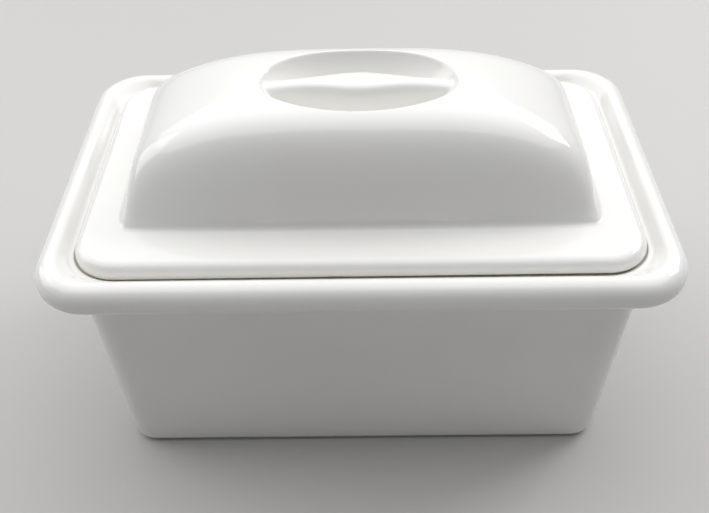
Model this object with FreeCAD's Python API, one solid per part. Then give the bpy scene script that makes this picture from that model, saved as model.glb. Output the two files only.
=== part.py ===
import FreeCAD, Part
import math
import os

# Butter crock in glazed porcelain: a rectangular crock with a thick rolled rim,
# and a domed lid that drops into the step inside the rim.
# Millimetres. +Z is up, the crock stands on Z = 0, its length runs along X,
# and the origin is the middle of the foot.

V = FreeCAD.Vector

# --- crock ---
rim_length = 200.0
rim_width = 129.0
rim_corner = 17.5
rim_top = 88.5
rim_under = 78.5
bead_radius = 5.0
under_radius = 4.0
rim_band = 10.0            # plan width of the rim, outside to the lid step
step_corner = 15.0         # plan corner radius of the lid step
rim_reach = 16.0           # how far in the rim's section runs before the step is cut
rim_inner_edge = 84.9      # height of the rim where it meets the lid step
inner_edge_radius = 0.5
rim_flat = 0.3             # narrow flat between the dish and the inner edge
seat_height = 84.0         # flat ledge that carries the lid
wall_overhang = 10.7       # how far the rim stands out past the wall
wall_draft = 4.9           # the wall leans in by this much on its way to the foot
wall_corner_top = 11.3
wall_corner_foot = 9.3
foot_edge_radius = 3.9
wall_thickness = 6.6
floor_thickness = 7.0
cavity_corner = 8.0
cavity_floor_radius = 6.0
foot_ring_width = 8.0
foot_ring_height = 1.2

# --- lid ---
lid_gap = 1.1              # clearance between the rim step and the lid flange
flange_corner = 14.0
flange_top = 89.3
flange_edge_radius = 3.4
flange_under_radius = 0.4
flange_relief = 0.5        # the outer part of the flange stands this far off the ledge
flange_relief_width = 3.0
dome_half_length = 75.6
dome_half_width = 36.6
dome_height = 33.3         # crown above the foot of the dome
dome_sink = 0.4            # the foot of the dome lies this far below the top of the flange
# each arch is 1 - share * t^low - (1 - share) * t^high, where t runs from 0 in the middle to 1
dome_length_arch = (0.52, 3.37, 30.0)
dome_width_arch = (0.95, 5.4, 16.0)
hip_length_power = 2.0     # the corners of the dome are eased by 1 - t^2 * u^8
hip_width_power = 8.0
crease_radius = 3.0        # hollow fillet round the foot of the dome
shell = 5.2                # thickness of the dome wall

# --- finger recess in the crown, with a bar along it ---
recess_half_length = 32.3
recess_half_width = 18.8
recess_rim = 32.4          # height of the recess edge above the flange
recess_depth = 14.0
bar_half_length = 34.0
bar_half_width = 3.6
bar_swell = 2.7            # extra half-width in the middle of the bar
bar_swell_length = 12.0
bar_crest = 32.7           # top of the bar above the flange, at mid length
bar_crest_radius = 230.0
bar_edge_radius = 1.6

wall_half_length = rim_length / 2 - wall_overhang
wall_half_width = rim_width / 2 - wall_overhang
step_half_length = rim_length / 2 - rim_band
step_half_width = rim_width / 2 - rim_band
flange_half_length = step_half_length - lid_gap
flange_half_width = step_half_width - lid_gap


def rounded_outline(half_length, half_width, radius, z):
    """Closed wire: a rectangle with round corners, centred on the Z axis."""
    inner_x = half_length - radius
    inner_y = half_width - radius
    corners = [(inner_x, inner_y, 0), (-inner_x, inner_y, 90),
               (-inner_x, -inner_y, 180), (inner_x, -inner_y, 270)]
    arcs = []
    for cx, cy, start in corners:
        points = []
        for turn in (0, 45, 90):
            angle = math.radians(start + turn)
            points.append(V(cx + radius * math.cos(angle), cy + radius * math.sin(angle), z))
        arcs.append(Part.Arc(*points))
    edges = []
    for index, arc in enumerate(arcs):
        following = arcs[(index + 1) % 4]
        edges.append(arc.toShape())
        edges.append(Part.makeLine(arc.EndPoint, following.StartPoint))
    return Part.Wire(edges)


def rounded_slab(half_length, half_width, radius, bottom, top):
    face = Part.Face(rounded_outline(half_length, half_width, radius, bottom))
    return face.extrude(V(0, 0, top - bottom))


def edges_at(shape, z, reach_x=1000.0, reach_y=1000.0):
    """Edges that lie wholly at height z, no further out than the two reaches."""
    tolerance = 0.01
    found = []
    for edge in shape.Edges:
        box = edge.BoundBox
        level = abs(box.ZMin - z) < tolerance and abs(box.ZMax - z) < tolerance
        near_x = max(box.XMax, -box.XMin) < reach_x + tolerance
        near_y = max(box.YMax, -box.YMin) < reach_y + tolerance
        if level and near_x and near_y:
            found.append(edge)
    return found


def tapered_block(lower, upper, z_low, z_high):
    """Loft between two rounded rectangles, each given as (half_length, half_width, radius)."""
    return Part.makeLoft([rounded_outline(*lower, z_low), rounded_outline(*upper, z_high)], True, True)


def rim_ring():
    """The rolled rim: one section carried round the outside of the crock."""
    outside = rim_length / 2

    def at(inward, z):
        return V(outside - inward, 0, z)

    diagonal = 1 - math.sqrt(0.5)
    dish_end = at(rim_band - inner_edge_radius - rim_flat, rim_inner_edge)
    inside_top = at(rim_reach, rim_inner_edge)
    inside_low = at(rim_reach, rim_under)
    shoulder = at(bead_radius, rim_top)
    shoulder_pole = at(bead_radius + 2.2, rim_top)
    edge_pole = at(rim_band - inner_edge_radius - 1.6, rim_inner_edge + 0.1)
    dish = Part.BezierCurve()
    dish.setPoles([shoulder, shoulder_pole, edge_pole, dish_end])
    bead = Part.Arc(at(0, rim_top - bead_radius),
                    at(bead_radius * diagonal, rim_top - bead_radius * diagonal), shoulder)
    belly = Part.Arc(at(under_radius, rim_under),
                     at(under_radius * diagonal, rim_under + under_radius * diagonal),
                     at(0, rim_under + under_radius))
    section = Part.Wire([
        Part.makeLine(at(0, rim_under + under_radius), at(0, rim_top - bead_radius)),
        bead.toShape(),
        dish.toShape(),
        Part.makeLine(dish_end, inside_top),
        Part.makeLine(inside_top, inside_low),
        Part.makeLine(inside_low, at(under_radius, rim_under)),
        belly.toShape(),
    ])
    path = rounded_outline(outside, rim_width / 2, rim_corner, rim_top - bead_radius)
    # the path has to start where the section stands, at the middle of the +X side
    side = sorted(path.Edges, key=lambda edge: -edge.CenterOfMass.x)[0]
    others = [edge for edge in path.Edges if not edge.isSame(side)]
    middle = V(outside, 0, rim_top - bead_radius)
    ends = [vertex.Point for vertex in side.Vertexes]
    low_end = min(ends, key=lambda point: point.y)
    high_end = max(ends, key=lambda point: point.y)
    ordered = Part.__sortEdges__([Part.makeLine(middle, high_end)] + others + [Part.makeLine(low_end, middle)])
    return Part.Wire(ordered).makePipeShell([section], True, False)


def make_crock():
    foot = (wall_half_length - wall_draft, wall_half_width - wall_draft, wall_corner_foot)
    lean = wall_draft / rim_under
    rise = lean * (seat_height - rim_under)
    top = (wall_half_length + rise, wall_half_width + rise, wall_corner_top)
    body = tapered_block(foot, top, 0, seat_height)
    body = body.makeFillet(foot_edge_radius, edges_at(body, 0))
    body = body.fuse(rim_ring())
    step = rounded_slab(step_half_length, step_half_width, step_corner, seat_height, rim_top)
    body = body.cut(step).removeSplitter()
    body = body.makeFillet(inner_edge_radius, edges_at(body, rim_inner_edge,
                                                          step_half_length, step_half_width))

    inside_top = (top[0] - wall_thickness, top[1] - wall_thickness, cavity_corner)
    drop = lean * (seat_height - floor_thickness)
    inside_floor = (inside_top[0] - drop, inside_top[1] - drop, cavity_corner - 1.0)
    cavity = tapered_block(inside_floor, inside_top, floor_thickness, seat_height)
    cavity = cavity.makeFillet(cavity_floor_radius, edges_at(cavity, floor_thickness))
    body = body.cut(cavity)

    underside = rounded_slab(foot[0] - foot_ring_width, foot[1] - foot_ring_width,
                             wall_corner_foot - 3.0, -1.0, foot_ring_height)
    return body.cut(underside).removeSplitter()


def arch(t, share, low, high):
    return 1 - share * t ** low - (1 - share) * t ** high


def dome_level(x, y, half_length, half_width, height):
    """Height of the dome above its foot: the long arch times the short arch, eased at the corners."""
    t = abs(x) / half_length
    u = abs(y) / half_width
    hip = 1 - t ** hip_length_power * u ** hip_width_power
    return height * arch(t, *dome_length_arch) * arch(u, *dome_width_arch) * hip


def dome_block(half_length, half_width, height, bottom):
    """Solid under the dome surface, from the level `bottom` up."""
    rows = 49
    columns = 37
    foot = flange_top - dome_sink
    grid = []
    for row in range(rows):
        x = half_length * math.sin(math.pi * (row / (rows - 1) - 0.5))
        line = []
        for column in range(columns):
            y = half_width * math.sin(math.pi * (column / (columns - 1) - 0.5))
            line.append(V(x, y, foot + dome_level(x, y, half_length, half_width, height)))
        grid.append(line)
    surface = Part.BSplineSurface()
    surface.interpolate(grid)
    under = surface.toShape().extrude(V(0, 0, -200))
    slab = Part.makeBox(2 * half_length, 2 * half_width, 100, V(-half_length, -half_width, bottom))
    return slab.common(under)


def oval_bowl(half_length, half_width, depth, z):
    """Lower half of an ellipsoid with its flat side at height z."""
    ball = Part.makeSphere(1.0, V(0, 0, 0), V(0, 0, 1), -90, 0, 360)
    stretch = FreeCAD.Matrix()
    stretch.A11 = half_length
    stretch.A22 = half_width
    stretch.A33 = depth
    bowl = ball.transformGeometry(stretch)
    bowl.translate(V(0, 0, z))
    return bowl


def oval_column(half_length, half_width, bottom, top):
    outline = Part.Ellipse(V(0, 0, bottom), half_length, half_width)
    return Part.Face(Part.Wire(outline.toShape())).extrude(V(0, 0, top - bottom))


def bar_block():
    """The grip bar: widest in the middle, its crest falling to both ends."""
    steps = 24
    front = []
    back = []
    for step in range(steps + 1):
        x = -bar_half_length + 2 * bar_half_length * step / steps
        half = bar_half_width + bar_swell * math.exp(-(x / bar_swell_length) ** 2)
        front.append(V(x, -half, 0))
        back.append(V(x, half, 0))
    edges = []
    for line in (front, back):
        curve = Part.BSplineCurve()
        curve.interpolate(line)
        edges.append(curve.toShape())
    edges.append(Part.makeLine(front[0], back[0]))
    edges.append(Part.makeLine(front[-1], back[-1]))
    outline = Part.Wire(Part.__sortEdges__(edges))
    outline.translate(V(0, 0, flange_top + recess_rim - recess_depth - 1.0))
    prism = Part.Face(outline).extrude(V(0, 0, 40))
    crest = flange_top + bar_crest
    barrel = Part.makeCylinder(bar_crest_radius, 60, V(0, -30, crest - bar_crest_radius), V(0, 1, 0))
    bar = prism.common(barrel)
    long_edges = []
    for edge in bar.Edges:
        box = edge.BoundBox
        if box.XLength > bar_half_length and box.ZMin > crest - 5.0:
            long_edges.append(edge)
    return bar.makeFillet(bar_edge_radius, long_edges)


def make_lid():
    flange = rounded_slab(flange_half_length, flange_half_width, flange_corner,
                          seat_height + flange_relief, flange_top)
    flange = flange.makeFillet(flange_edge_radius, edges_at(flange, flange_top))
    flange = flange.makeFillet(flange_under_radius, edges_at(flange, seat_height + flange_relief))
    contact = rounded_slab(flange_half_length - flange_relief_width, flange_half_width - flange_relief_width,
                           flange_corner - flange_relief_width, seat_height, flange_top - 1.0)
    dome = dome_block(dome_half_length, dome_half_width, dome_height, seat_height + 1.0)
    lid = flange.fuse(contact).fuse(dome)
    lid = lid.makeFillet(crease_radius, edges_at(lid, flange_top, dome_half_length, dome_half_width))

    recess_z = flange_top + recess_rim
    lid = lid.cut(oval_bowl(recess_half_length, recess_half_width, recess_depth, recess_z))
    lid = lid.cut(oval_column(recess_half_length, recess_half_width, recess_z, recess_z + 5.0))
    lid = lid.fuse(bar_block())
    hollow = dome_block(dome_half_length - shell, dome_half_width - shell, dome_height - shell,
                        seat_height - 1.0)
    boss = oval_bowl(recess_half_length + shell, recess_half_width + shell, recess_depth + shell, recess_z)
    return lid.cut(hollow.cut(boss))


os.makedirs("parts", exist_ok=True)
nodes = {"crock": make_crock(), "lid": make_lid()}
for name, shape in nodes.items():
    shape.exportStep("parts/" + name + ".step")
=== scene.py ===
import math

import bpy
import numpy as np
from mathutils import Matrix, Vector


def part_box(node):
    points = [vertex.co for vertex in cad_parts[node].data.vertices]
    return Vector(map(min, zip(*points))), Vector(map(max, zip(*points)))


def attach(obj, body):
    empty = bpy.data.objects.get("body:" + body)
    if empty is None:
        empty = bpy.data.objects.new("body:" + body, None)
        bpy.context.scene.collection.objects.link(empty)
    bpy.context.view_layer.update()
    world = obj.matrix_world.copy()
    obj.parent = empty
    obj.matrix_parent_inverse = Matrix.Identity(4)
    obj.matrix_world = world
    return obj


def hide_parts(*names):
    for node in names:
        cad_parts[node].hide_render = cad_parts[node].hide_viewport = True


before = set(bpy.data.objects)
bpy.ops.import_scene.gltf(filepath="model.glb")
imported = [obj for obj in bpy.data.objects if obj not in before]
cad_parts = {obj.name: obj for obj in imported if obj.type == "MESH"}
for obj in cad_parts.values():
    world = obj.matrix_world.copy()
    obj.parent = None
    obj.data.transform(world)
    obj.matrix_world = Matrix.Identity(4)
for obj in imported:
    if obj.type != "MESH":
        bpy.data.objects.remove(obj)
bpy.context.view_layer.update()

# Butter crock in glazed porcelain, in the CAD frame: +Z up, length along X, the foot on Z = 0.
# Shapes are worked out in millimetres and scaled to metres when their meshes are made.
# Every shape is a family of closed loops that share one point count, joined into quads.
# "Inward" is the distance of a loop from the outside of the rim or of the flange.

MM = 0.001

crock_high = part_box("crock")[1]
lid_low, lid_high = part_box("lid")

# ---- crock sizes -----------------------------------------------------------
RIM_HALF_LENGTH = crock_high.x / MM
RIM_HALF_WIDTH = crock_high.y / MM
RIM_TOP = crock_high.z / MM
RIM_UNDER = RIM_TOP - 10.0
RIM_CORNER = 17.5
BEAD = 5.0               # radius of the rim's outer edge above its belly
BELLY = 4.0              # radius of the rim's outer edge below it
DISH_CORNER = 12.5       # plan corner radius where the bead ends
INNER_EDGE = 84.9        # height of the rim where it meets the lid step
INNER_EDGE_RADIUS = 0.5
STEP = 10.4              # how far inward the lid step stands
STEP_CORNER = 15.0
SEAT = lid_low.z / MM    # the ledge that carries the lid
LEDGE_EDGE = 1.2         # radius of the ledge's inner edge
OVERHANG = 10.7          # how far the rim stands out past the wall
DRAFT = 4.9              # the wall leans in by this much on its way to the foot
WALL = 6.6
WALL_CORNER_FOOT = 9.3
WALL_CORNER_GAIN = 2.0   # how much rounder the wall's corners are under the rim
RIM_FILLET_GAIN = 0.9    # growth of the corner radius along the fillet under the rim
FOOT_EDGE = 3.9
FOOT_RECESS = 1.2        # height of the recess inside the foot ring
FLOOR = 7.0
FLOOR_BEND = 6.0         # radius between the inner wall and the floor
CAVITY_CORNER = 8.0

# ---- lid sizes, with heights over the flange -------------------------------
FLANGE_TOP = SEAT + 5.3
FLANGE_X = lid_high.x / MM
FLANGE_Y = lid_high.y / MM
FLANGE_CORNER = 14.0
FLANGE_EDGE = 3.4
FLANGE_UNDER = 0.4       # radius of the flange's lower edge
HOLLOW_EDGE = 1.2        # radius where the hollow meets the underside of the flange
RELIEF = 0.5             # the outer part of the flange stands this far off the ledge
RELIEF_WIDTH = 3.0
DOME_X, DOME_Y, DOME_H = 75.6, 36.6, 33.3
SINK = 0.4               # the foot of the dome lies this far below the top of the flange
SHELL = 5.2
CREASE = 3.0             # hollow fillet round the foot of the dome
# an arch is 1 - share * t^low - (1 - share) * t^high, with t from 0 in the middle to 1 at the foot
LONG_ARCH = (0.52, 3.37, 30.0)
WIDE_ARCH = (0.95, 5.4, 16.0)
HIP_LONG, HIP_WIDE = 2.0, 8.0        # the corners are eased by 1 - t^2 * u^8

# ---- finger recess and grip bar --------------------------------------------
BOWL_X, BOWL_Y, BOWL_DEPTH, BOWL_RIM = 32.3, 18.8, 13.8, 32.4
BOWL_POWER = 3.2
BOWL_LIP = 0.35          # softness of the recess edge
BOSS_DEPTH = 19.2        # of the boss under the recess, from the recess edge
BOSS_FLARE = 60.0        # slope of the boss outside its oval
BOSS_BLEND = 0.8
CREST = lid_high.z / MM - FLANGE_TOP
CREST_DROP = 0.15
CREST_CURVE = 460.0      # twice the radius of the bar's crest along X
BAR_HALF = 3.2
BAR_SWELL = 2.7          # extra half-width in the middle of the bar
BAR_SWELL_LENGTH = 12.0
BAR_CAMBER, BAR_CAMBER_AT = 0.35, 5.0
BAR_SOFT, BAR_FLANK = 0.7, 2.6
BAR_BLEND = 0.5

# ---- how the loops' points are shared out ----------------------------------
LONG_STEPS = 44          # points on half a long side, from the middle to the corner
SHORT_STEPS = 30
GRADE = 2.2              # points crowd towards the corners by this power
CROWN_GRADE = 1.3
DOME_TOP = 0.9           # share of the dome's height that its own loops reach
HOLLOW_TOP, HOLLOW_LOW = 0.8, 0.05


# ---- loops -----------------------------------------------------------------
def graded(steps, grade):
    """0 to 1, with the points closing up towards 1."""
    t = np.linspace(0, 1, steps + 1)
    return 1 - (1 - t) ** grade


def mirror_quarter(qx, qy):
    """Full loop from one quarter (+X to +Y), anticlockwise, with no repeated point."""
    x = np.concatenate([qx, -qx[::-1][1:], -qx[1:], qx[::-1][1:-1]])
    y = np.concatenate([qy, qy[::-1][1:], -qy[1:], -qy[::-1][1:-1]])
    return x, y


def along(px, py, s):
    """Points at the shares s of a polyline's length."""
    d = np.concatenate([[0], np.cumsum(np.hypot(np.diff(px), np.diff(py)))])
    return np.interp(s * d[-1], d, px), np.interp(s * d[-1], d, py)


def from_halves(px, py, corner, grade):
    """Quarter loop whose corner point is at index `corner` of the fine line px, py."""
    ax, ay = along(px[:corner + 1], py[:corner + 1], graded(SHORT_STEPS, grade))
    bx, by = along(px[corner:][::-1], py[corner:][::-1], graded(LONG_STEPS, grade))
    return np.concatenate([ax, bx[::-1][1:]]), np.concatenate([ay, by[::-1][1:]])


def box_loop(hx, hy, r):
    """Rounded rectangle."""
    r = max(r, 0.05)
    side, bend = 200, 120
    turn = np.radians(np.linspace(0, 90, bend + 1))
    px = np.concatenate([[hx] * side, hx - r + r * np.cos(turn), np.linspace(hx - r, 0, side + 1)[1:]])
    py = np.concatenate([np.linspace(0, hy - r, side + 1)[:-1], hy - r + r * np.sin(turn), [hy] * side])
    return mirror_quarter(*from_halves(px, py, side + bend // 2, GRADE))


def oval_loop(hx, hy, grade=1.0):
    """Ellipse."""
    bend = 360
    turn = np.radians(np.linspace(0, 90, bend + 1))
    return mirror_quarter(*from_halves(hx * np.cos(turn), hy * np.sin(turn), bend // 2, grade))


def blend_loops(a, b, t):
    """Loop at the share t of the way from a to b."""
    return a[0] * (1 - t) + b[0] * t, a[1] * (1 - t) + b[1] * t


def push_out(loop, distance):
    """Loop moved outwards along its own normals."""
    x, y = loop
    tx, ty = np.roll(x, -1) - np.roll(x, 1), np.roll(y, -1) - np.roll(y, 1)
    n = np.hypot(tx, ty) + 1e-12
    return x + ty / n * distance, y - tx / n * distance


def ring(loop, z):
    """Points of a loop at the height z, or at a height for each point."""
    x, y = loop
    return np.column_stack([x, y, np.broadcast_to(z, x.shape)])


def skin(name, rings, close_start, close_end):
    """Closed mesh through the rings, with a middle point at the two heights that close its ends."""
    n = len(rings[0])
    faces = []
    for k in range(len(rings) - 1):
        a, b = k * n, (k + 1) * n
        faces += [(a + i, a + (i + 1) % n, b + (i + 1) % n, b + i) for i in range(n)]
    verts = list(map(tuple, np.concatenate(rings) * MM))
    last = len(verts) - n
    verts += [(0, 0, close_start * MM), (0, 0, close_end * MM)]
    start, end = len(verts) - 2, len(verts) - 1
    faces += [(start, (i + 1) % n, i) for i in range(n)]
    faces += [(end, last + i, last + (i + 1) % n) for i in range(n)]
    mesh = bpy.data.meshes.new(name)
    mesh.from_pydata(verts, [], faces)
    mesh.polygons.foreach_set("use_smooth", [True] * len(mesh.polygons))
    mesh.update()
    obj = bpy.data.objects.new(name, mesh)
    bpy.context.scene.collection.objects.link(obj)
    return obj


# ---- sections --------------------------------------------------------------
def arc(cx, cz, r, start, stop, steps):
    """(inward, z) pairs on an arc of a section; angles in degrees, 0 points outwards and 90 up."""
    t = np.radians(np.linspace(start, stop, steps))
    return [(cx - r * math.cos(a), cz + r * math.sin(a)) for a in t]


def bezier(p0, p1, p2, p3, steps):
    """(inward, z) pairs on a cubic curve of a section."""
    t = np.linspace(0, 1, steps)[:, None]
    p0, p1, p2, p3 = (np.array(p, float) for p in (p0, p1, p2, p3))
    q = (1 - t) ** 3 * p0 + 3 * (1 - t) ** 2 * t * p1 + 3 * (1 - t) * t * t * p2 + t ** 3 * p3
    return [tuple(v) for v in q]


# ---- crock -----------------------------------------------------------------
def crock_rings():
    """Rings from the middle of the underside, up the outside, over the rim and down to the floor."""
    lean = DRAFT / RIM_UNDER
    rings = []

    def wall(inward, z, corner):
        rings.append(ring(box_loop(RIM_HALF_LENGTH - inward, RIM_HALF_WIDTH - inward, corner), z))

    def foot_inward(z):
        return OVERHANG + DRAFT - lean * z

    # underside, from the middle out: shallow recess, foot ring, foot edge
    for inward, corner in ((58, 2), (40, 4), (30, 5.5), (24.9, 6.2)):
        wall(inward, FOOT_RECESS, corner)
    for inward, z in bezier((24.5, FOOT_RECESS), (24.0, FOOT_RECESS), (24.1, 0), (23.4, 0), 7):
        wall(inward, z, 6.4)
    wall(21.6, 0, 7.0)
    edge = foot_inward(0)
    for inward, z in arc(edge + FOOT_EDGE, FOOT_EDGE, FOOT_EDGE, -90, -3, 12):
        wall(inward, z, WALL_CORNER_FOOT - (inward - edge) * 0.5)
    for z in np.linspace(5.5, RIM_UNDER - 2.6, 26):
        wall(foot_inward(z), z, WALL_CORNER_FOOT + WALL_CORNER_GAIN * z / RIM_UNDER)
    # fillet from the wall to the underside of the rim, then belly and bead
    top = foot_inward(RIM_UNDER)
    fillet = bezier((top + 0.1, RIM_UNDER - 2.0), (top, RIM_UNDER - 0.6),
                    (top - 0.7, RIM_UNDER), (top - 2.0, RIM_UNDER), 8)
    for inward, z in fillet:
        wall(inward, z, WALL_CORNER_FOOT + WALL_CORNER_GAIN + (top - inward) * RIM_FILLET_GAIN)
    belly = arc(BELLY, RIM_UNDER + BELLY, BELLY, -90, 0, 12)
    bead = arc(BEAD, RIM_TOP - BEAD, BEAD, 0, 90, 14)
    for inward, z in belly + bead:
        wall(inward, z, RIM_CORNER - inward)
    # the rim dips inwards to a soft inner edge, and its corners open out to the step's rounder ones
    dish = bezier((BEAD, RIM_TOP), (7.2, RIM_TOP), (8.3, INNER_EDGE + 0.1), (9.6, INNER_EDGE), 14)[1:]
    inner = arc(STEP - INNER_EDGE_RADIUS, INNER_EDGE - INNER_EDGE_RADIUS, INNER_EDGE_RADIUS, 90, 180, 6)
    for inward, z in dish + inner:
        wall(inward, z, DISH_CORNER + (STEP_CORNER - DISH_CORNER) * (inward - BEAD) / 5)
    # step, ledge and its inner edge
    for inward, z in bezier((STEP, 84.3), (STEP, 84.08), (10.45, SEAT), (10.7, SEAT), 4):
        wall(inward, z, STEP_CORNER + 10 - inward)
    wall(13.0, SEAT, 11.0)
    lip = top - 0.34 + WALL          # the wall has leaned out by 0.34 where the ledge is
    for inward, z in arc(lip - LEDGE_EDGE, SEAT - LEDGE_EDGE, LEDGE_EDGE, 90, 176, 7):
        wall(inward, z, CAVITY_CORNER)
    # inner wall, bend and floor
    for z in np.linspace(SEAT - 3, 14, 18):
        wall(lip + lean * (SEAT - z), z, CAVITY_CORNER - (SEAT - z) / 77)
    bend_top = FLOOR + FLOOR_BEND
    bend = lip + lean * (SEAT - bend_top)
    for t in np.radians(np.linspace(0, 90, 10)):
        swing = 1 - math.cos(t)
        wall(bend + FLOOR_BEND * swing, bend_top - FLOOR_BEND * math.sin(t), 7.0 - 3.0 * swing)
    for inward, corner in ((33, 3.4), (42, 2.6), (58, 1.5)):
        wall(inward, FLOOR, corner)
    return rings


crock = skin("crock_body", crock_rings(), close_start=FOOT_RECESS, close_end=FLOOR)


# ---- the dome --------------------------------------------------------------
def arch(t, share, low, high):
    """1 in the middle and 0 at the foot."""
    return 1 - share * t ** low - (1 - share) * t ** high


def dome(x, y, hx=DOME_X, hy=DOME_Y, h=DOME_H):
    """Height over the flange."""
    t, u = np.abs(x / hx).clip(0, 1), np.abs(y / hy).clip(0, 1)
    hip = 1 - t ** HIP_LONG * u ** HIP_WIDE
    return h * arch(t, *LONG_ARCH) * arch(u, *WIDE_ARCH) * hip - SINK


def dome_loop(height, hx=DOME_X, hy=DOME_Y, h=DOME_H, grade=GRADE):
    """Loop on which the dome stands this high over the flange, found by halving along rays from the middle."""
    turn = np.linspace(0, math.pi / 2, 1601)
    ray_x, ray_y = np.cos(turn) ** 0.6, np.sin(turn) ** 0.6
    low, high = np.zeros_like(turn), 1 / np.maximum(ray_x, ray_y)
    for _ in range(40):
        middle = (low + high) / 2
        inside = dome(hx * ray_x * middle, hy * ray_y * middle, hx, hy, h) > height
        low, high = np.where(inside, middle, low), np.where(inside, high, middle)
    corner = int(np.argmin(np.abs(turn - math.pi / 4)))
    return mirror_quarter(*from_halves(hx * ray_x * low, hy * ray_y * low, corner, grade))


def dome_tilt(x, y):
    """Angle of the dome's surface from level, in radians, from heights a small step to either side."""
    step = 0.02
    share_x, share_y = step / DOME_X, step / DOME_Y
    fall_x = dome(x * (1 - share_x), y) - dome(x * (1 + share_x), y)
    fall_y = dome(x, y * (1 - share_y)) - dome(x, y * (1 + share_y))
    dx = fall_x / (2 * step * np.abs(x) / DOME_X + 1e-9)
    dy = fall_y / (2 * step * np.abs(y) / DOME_Y + 1e-9)
    return np.arctan(np.hypot(dx, dy))


def soft_max(a, b, w):
    """The larger of a and b, rounded over by w where they meet."""
    return w * np.logaddexp(a / w, b / w)


def oval_reach(x, y, hx, hy):
    """0 in the middle of an oval and 1 on its edge."""
    return np.sqrt((x / hx) ** 2 + (y / hy) ** 2)


def bar_top(x, y):
    """Height of the grip bar over the flange."""
    half = BAR_HALF + BAR_SWELL * np.exp(-(x / BAR_SWELL_LENGTH) ** 2)
    crest = CREST - CREST_DROP - x ** 2 / CREST_CURVE
    over = (np.abs(y) - half) / BAR_SOFT
    return crest - BAR_CAMBER * (y / BAR_CAMBER_AT) ** 2 - BAR_FLANK * np.logaddexp(0, over)


def crown(x, y):
    """Height over the flange of the dome with the recess and the bar."""
    bowl = BOWL_RIM + BOWL_DEPTH * (oval_reach(x, y, BOWL_X, BOWL_Y) ** BOWL_POWER - 1)
    inside = soft_max(bowl, bar_top(x, y), BAR_BLEND)
    return -soft_max(-dome(x, y), -inside, BOWL_LIP)


# ---- lid -------------------------------------------------------------------
def flange_loop(inward):
    """The flange's outline, moved inward."""
    return box_loop(FLANGE_X - inward, FLANGE_Y - inward, FLANGE_CORNER - inward)


def relief(loop):
    """How far the outer part of the flange stands off the ledge: more at the front right, with one nick."""
    x, y = loop
    front = np.clip(-y / FLANGE_Y, 0, 1) ** 4
    nick = np.exp(-((x + 6.5) / 1.9) ** 4)
    return RELIEF + front * (0.12 + 0.3 * x / FLANGE_X + 0.4 * nick)


def flange_edge_rings():
    """Lower edge of the flange, then its rounded upper edge."""
    rings = []
    for inward, z in arc(FLANGE_UNDER, FLANGE_UNDER, FLANGE_UNDER, -90, 0, 5):
        loop = flange_loop(inward)
        rings.append(ring(loop, SEAT + z + relief(loop)))
    for inward, z in arc(FLANGE_EDGE, FLANGE_TOP - FLANGE_EDGE, FLANGE_EDGE, 4, 90, 16):
        rings.append(ring(flange_loop(inward), z))
    return rings


def crease_rings():
    """Flat of the flange, then a hollow fillet that is tangent to the flange and to the dome."""
    foot = dome_loop(0.0)
    tilt = dome_tilt(*foot)
    reach = CREASE * np.tan(tilt / 2)
    rise = dome(*push_out(foot, -reach * np.cos(tilt)))
    weight = np.cos(tilt / 2)
    outer = flange_loop(FLANGE_EDGE)
    rings = []
    for t in (0.3, 0.6, 0.85, 1.0):
        rings.append(ring(blend_loops(outer, push_out(foot, reach), t), FLANGE_TOP))
    for t in np.linspace(0, 1, 10)[1:]:
        share = (1 - t) ** 2 + 2 * t * (1 - t) * weight + t * t
        out = ((1 - t) ** 2 - t * t * np.cos(tilt)) * reach / share
        rings.append(ring(push_out(foot, out), FLANGE_TOP + t * t * rise / share))
    return rings


def crown_rings():
    """The dome on its own level loops, then the recess and the bar on ovals."""
    highest = DOME_TOP * DOME_H - SINK
    loops = []
    for height in np.linspace(3.4, highest, 33):
        loops.append(dome_loop(height, grade=GRADE - (GRADE - CROWN_GRADE) * height / highest))
    last = dome_loop(highest, grade=CROWN_GRADE)
    oval = oval_loop(BOWL_X + 1.5, BOWL_Y + 1.5, grade=1.15)
    for t in np.linspace(0, 1, 15)[1:]:
        loops.append(blend_loops(last, oval, t))
    for r in np.concatenate([np.linspace(1.04, 0.94, 12), np.linspace(0.925, 0.02, 64)]):
        loops.append(oval_loop(BOWL_X * r, BOWL_Y * r))
    return [ring(loop, FLANGE_TOP + crown(*loop)) for loop in loops]


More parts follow.
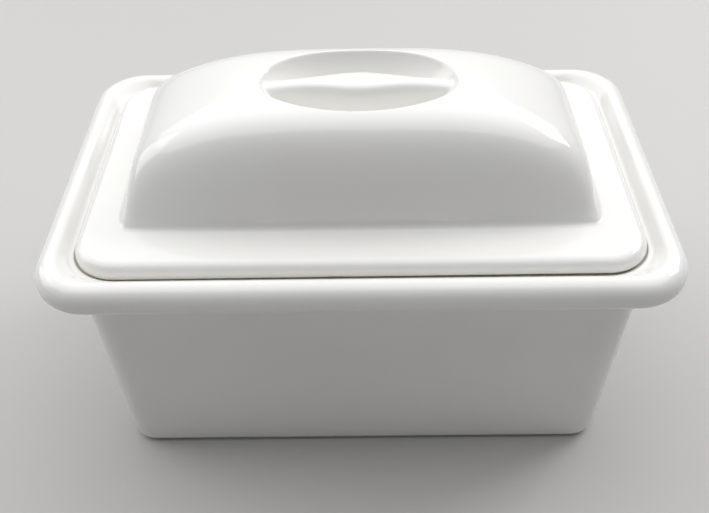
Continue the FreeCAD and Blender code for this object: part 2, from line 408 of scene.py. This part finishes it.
def lid_under_rings():
    """Underside from the middle out: boss under the recess, hollow, flat of the flange."""
    hx, hy, h = DOME_X - SHELL, DOME_Y - SHELL, DOME_H - SHELL

    def under(x, y):
        rho = oval_reach(x, y, BOWL_X + SHELL, BOWL_Y + SHELL)
        boss = BOWL_RIM - BOSS_DEPTH * np.sqrt(np.clip(1 - rho ** 2, 0, 1))
        boss = np.where(rho > 1, BOWL_RIM + BOSS_FLARE * (rho - 1), boss)
        return -soft_max(-dome(x, y, hx, hy, h), -boss, BOSS_BLEND)

    loops = []
    for r in np.linspace(0.03, 1.0, 26):
        loops.append(oval_loop((BOWL_X + 1) * r, (BOWL_Y + 1) * r))
    first = oval_loop(BOWL_X + 1, BOWL_Y + 1)
    high = dome_loop(HOLLOW_TOP * h - SINK, hx, hy, h, grade=CROWN_GRADE)
    for t in np.linspace(0, 1, 8)[1:]:
        loops.append(blend_loops(first, high, t))
    for level in np.linspace(HOLLOW_TOP, HOLLOW_LOW, 20)[1:]:
        grade = CROWN_GRADE + (GRADE - CROWN_GRADE) * (HOLLOW_TOP - level) / (HOLLOW_TOP - HOLLOW_LOW)
        loops.append(dome_loop(level * h - SINK, hx, hy, h, grade))
    rings = [ring(loop, FLANGE_TOP + under(*loop)) for loop in loops]

    # straight wall of the hollow, its rounded lower edge, and the flat that rests on the ledge
    low = dome_loop(HOLLOW_LOW * h - SINK, hx, hy, h)
    for z in (FLANGE_TOP - 1.0, FLANGE_TOP - 3.0, SEAT + HOLLOW_EDGE):
        rings.append(ring(low, z))
    for a in np.radians(np.linspace(0, 90, 6)[1:]):
        loop = push_out(low, HOLLOW_EDGE * (1 - math.cos(a)))
        rings.append(ring(loop, SEAT + HOLLOW_EDGE * (1 - math.sin(a))))
    inner, outer = push_out(low, HOLLOW_EDGE), flange_loop(RELIEF_WIDTH)
    for t in (0.15, 0.4, 0.7, 0.9, 1.0):
        rings.append(ring(blend_loops(inner, outer, t), SEAT))
    for inward in (RELIEF_WIDTH - 0.05, 2.2, 1.2):
        loop = flange_loop(inward)
        rings.append(ring(loop, SEAT + relief(loop)))
    return rings


lid_rings = lid_under_rings() + flange_edge_rings() + crease_rings() + crown_rings()
bar_middle = float(crown(np.array(0.0), np.array(0.0)))
lid = skin("lid_body", lid_rings, close_start=FLANGE_TOP + BOWL_RIM - BOSS_DEPTH,
           close_end=FLANGE_TOP + bar_middle)


# ---- nodes -----------------------------------------------------------------
def node(tree, kind, at, **values):
    """New node with its own properties set."""
    n = tree.nodes.new(kind)
    n.location = at
    for key, value in values.items():
        setattr(n, key, value)
    return n


def feed(tree, socket, value):
    """Link an output to the socket, or set the socket's value."""
    if isinstance(value, bpy.types.NodeSocket):
        tree.links.new(value, socket)
    else:
        socket.default_value = value


def maths(tree, operation, at, *values):
    n = node(tree, "ShaderNodeMath", at, operation=operation)
    for socket, value in zip(n.inputs, values):
        feed(tree, socket, value)
    return n.outputs[0]


def noise(tree, place, at, scale, detail):
    n = node(tree, "ShaderNodeTexNoise", at)
    n.inputs["Scale"].default_value = scale
    n.inputs["Detail"].default_value = detail
    tree.links.new(place, n.inputs["Vector"])
    return n.outputs["Fac"]


def ramp(tree, value, at, *stops):
    """Colour ramp through two stops, each a position and a colour."""
    n = node(tree, "ShaderNodeValToRGB", at)
    for element, (position, colour) in zip(n.color_ramp.elements, stops):
        element.position = position
        element.color = (*colour, 1)
    tree.links.new(value, n.inputs["Fac"])
    return n.outputs["Color"]


def mix(tree, kind, at, factor, a, b):
    n = node(tree, "ShaderNodeMix", at, data_type=kind)
    for name, value in (("Factor", factor), ("A", a), ("B", b)):
        feed(tree, n.inputs[name], value)
    return n.outputs["Result"]


# ---- glaze -----------------------------------------------------------------
GLAZE_LOW, GLAZE_HIGH = (0.80, 0.79, 0.765), (0.83, 0.825, 0.80)
CLAY_LOW, CLAY_HIGH = (0.52, 0.47, 0.40), (0.64, 0.60, 0.53)
SPECK_COLOUR = (0.32, 0.27, 0.22, 1)
SPECK_SIZE = 0.028
SPECK_RARITY = 0.86      # share of the specks that are left out
SPECK_STRENGTH = 0.55
GLOSS_LOW, GLOSS_HIGH = 0.05, 0.10
CLAY_ROUGHNESS = 0.8
BARE_REACH = 0.15        # mm above or below a bare height
LEVEL_NORMAL = 0.9


def speckled_glaze(tree, place):
    """White glaze, softly clouded, with rare dark specks."""
    cloud = noise(tree, place, (-1000, 300), 14, 3)
    tone = ramp(tree, cloud, (-700, 300), (0.3, GLAZE_LOW), (0.7, GLAZE_HIGH))
    speck = node(tree, "ShaderNodeTexVoronoi", (-1000, 0))
    speck.inputs["Scale"].default_value = 70
    tree.links.new(place, speck.inputs["Vector"])
    pick = node(tree, "ShaderNodeSeparateColor", (-800, -150))
    tree.links.new(speck.outputs["Color"], pick.inputs[0])
    dot = maths(tree, "LESS_THAN", (-800, 0), speck.outputs["Distance"], SPECK_SIZE)
    rare = maths(tree, "GREATER_THAN", (-600, -150), pick.outputs[0], SPECK_RARITY)
    both = maths(tree, "MULTIPLY", (-450, 0), dot, rare)
    soft = maths(tree, "MULTIPLY", (-300, 0), both, SPECK_STRENGTH)
    return mix(tree, "RGBA", (-100, 200), soft, tone, SPECK_COLOUR)


def bare_mask(tree, place, heights):
    """1 close to one of the heights where the surface lies level, and 0 elsewhere."""
    split = node(tree, "ShaderNodeSeparateXYZ", (-1400, -900))
    tree.links.new(place, split.inputs[0])
    distances = []
    for height in heights:
        drop = maths(tree, "SUBTRACT", (-1200, -900), split.outputs["Z"], height * MM)
        distances.append(maths(tree, "ABSOLUTE", (-1000, -900), drop))
    nearest = distances[0]
    for distance in distances[1:]:
        nearest = maths(tree, "MINIMUM", (-800, -900), nearest, distance)
    near = maths(tree, "LESS_THAN", (-600, -900), nearest, BARE_REACH * MM)
    facing = node(tree, "ShaderNodeNewGeometry", (-1400, -1100))
    turned = node(tree, "ShaderNodeSeparateXYZ", (-1200, -1100))
    tree.links.new(facing.outputs["True Normal"], turned.inputs[0])
    upright = maths(tree, "ABSOLUTE", (-1000, -1100), turned.outputs["Z"])
    level = maths(tree, "GREATER_THAN", (-800, -1100), upright, LEVEL_NORMAL)
    return maths(tree, "MULTIPLY", (-400, -1000), near, level)


def porcelain(name, bare_heights):
    """Glossy white glaze on porcelain, with bare clay on the level faces at these heights, in mm."""
    mat = bpy.data.materials.new(name)
    mat.use_nodes = True
    tree = mat.node_tree
    tree.nodes.clear()
    out = node(tree, "ShaderNodeOutputMaterial", (900, 0))
    shader = node(tree, "ShaderNodeBsdfPrincipled", (600, 0))
    tree.links.new(shader.outputs[0], out.inputs[0])
    shader.inputs["IOR"].default_value = 1.5
    shader.inputs["Coat Weight"].default_value = 0.0
    shader.inputs["Subsurface Weight"].default_value = 0.0
    place = node(tree, "ShaderNodeTexCoord", (-1400, 0)).outputs["Object"]
    bare = bare_mask(tree, place, bare_heights)
    # colour: glaze, and grainy clay where it is bare
    grain = noise(tree, place, (-1000, -1300), 260, 3)
    clay = ramp(tree, grain, (-700, -1300), (0.3, CLAY_LOW), (0.7, CLAY_HIGH))
    colour = mix(tree, "RGBA", (200, 200), bare, speckled_glaze(tree, place), clay)
    tree.links.new(colour, shader.inputs["Base Color"])
    # gloss of the glaze, and the dull clay
    gloss = node(tree, "ShaderNodeMapRange", (-700, -400))
    gloss.inputs["To Min"].default_value = GLOSS_LOW
    gloss.inputs["To Max"].default_value = GLOSS_HIGH
    tree.links.new(noise(tree, place, (-1000, -400), 35, 4), gloss.inputs["Value"])
    rough = mix(tree, "FLOAT", (200, -300), bare, gloss.outputs[0], CLAY_ROUGHNESS)
    tree.links.new(rough, shader.inputs["Roughness"])
    # slow waviness of the fired surface
    bump = node(tree, "ShaderNodeBump", (-300, -600))
    bump.inputs["Strength"].default_value = 0.12
    bump.inputs["Distance"].default_value = 0.0012
    tree.links.new(noise(tree, place, (-1000, -700), 30, 1), bump.inputs["Height"])
    tree.links.new(bump.outputs[0], shader.inputs["Normal"])
    return mat


crock.data.materials.append(porcelain("crock_porcelain", (0.0, SEAT)))
lid.data.materials.append(porcelain("lid_porcelain", (SEAT,)))

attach(crock, "crock")
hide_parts("crock")
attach(lid, "lid")
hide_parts("lid")


# ---- stage -----------------------------------------------------------------
def floor_material():
    """Plain pale grey, a little uneven."""
    mat = bpy.data.materials.new("floor")
    mat.use_nodes = True
    tree = mat.node_tree
    shader = tree.nodes["Principled BSDF"]
    mottle = node(tree, "ShaderNodeTexNoise", (-600, 0))
    mottle.inputs["Scale"].default_value = 3
    tone = ramp(tree, mottle.outputs["Fac"], (-300, 0), (0.0, (0.50, 0.49, 0.48)), (1.0, (0.54, 0.53, 0.52)))
    tree.links.new(tone, shader.inputs["Base Color"])
    shader.inputs["Roughness"].default_value = 0.7
    return mat


FLOOR_HALF = 3
floor_corners = [(x * FLOOR_HALF, y * FLOOR_HALF, 0) for x, y in ((-1, -1), (1, -1), (1, 1), (-1, 1))]
floor_mesh = bpy.data.meshes.new("floor")
floor_mesh.from_pydata(floor_corners, [], [(0, 1, 2, 3)])
floor = bpy.data.objects.new("floor", floor_mesh)
bpy.context.scene.collection.objects.link(floor)
floor.data.materials.append(floor_material())


# ---- light -----------------------------------------------------------------
def soft_light(name, at, aim, size, power):
    """Rectangular area light at one point, turned towards another."""
    data = bpy.data.lights.new(name, "AREA")
    data.shape = "RECTANGLE"
    data.size, data.size_y = size
    data.energy = power
    lamp = bpy.data.objects.new(name, data)
    lamp.location = at
    lamp.rotation_euler = (Vector(aim) - Vector(at)).to_track_quat("-Z", "Y").to_euler()
    bpy.context.scene.collection.objects.link(lamp)


soft_light("overhead", (0.0, 0.26, 0.85), (0.0, 0.0, 0.05), (2.0, 1.5), 14)
soft_light("left box", (-0.75, 0.20, 0.45), (0.0, 0.0, 0.09), (0.5, 0.5), 1.8)
soft_light("right box", (0.62, 0.34, 0.60), (0.0, 0.0, 0.10), (0.34, 0.22), 2.2)

bpy.context.scene.view_settings.view_transform = "Standard"
world = bpy.data.worlds.new("studio")
bpy.context.scene.world = world
world.use_nodes = True
background = world.node_tree.nodes["Background"]
background.inputs["Color"].default_value = (0.9, 0.92, 0.95, 1)
background.inputs["Strength"].default_value = 0.24

# ---- camera ----------------------------------------------------------------
CAMERA_AT = Vector((0.86, -265.6, 278.0)) * MM
YAW, PITCH, ROLL = (math.radians(angle) for angle in (-0.69, 41.10, -1.13))

camera_data = bpy.data.cameras.new("camera")
camera_data.sensor_width = 36
camera_data.lens = 48.24
camera_data.clip_start = 0.01
camera = bpy.data.objects.new("camera", camera_data)
bpy.context.scene.collection.objects.link(camera)
forward = Vector((math.sin(YAW) * math.cos(PITCH), math.cos(YAW) * math.cos(PITCH), -math.sin(PITCH)))
right = Vector((math.cos(YAW), -math.sin(YAW), 0))
up = right.cross(forward)
right_rolled = right * math.cos(ROLL) + up * math.sin(ROLL)
up_rolled = up * math.cos(ROLL) - right * math.sin(ROLL)
axes = Matrix((right_rolled, up_rolled, -forward)).transposed()
camera.matrix_world = Matrix.Translation(CAMERA_AT) @ axes.to_4x4()
bpy.context.scene.camera = camera
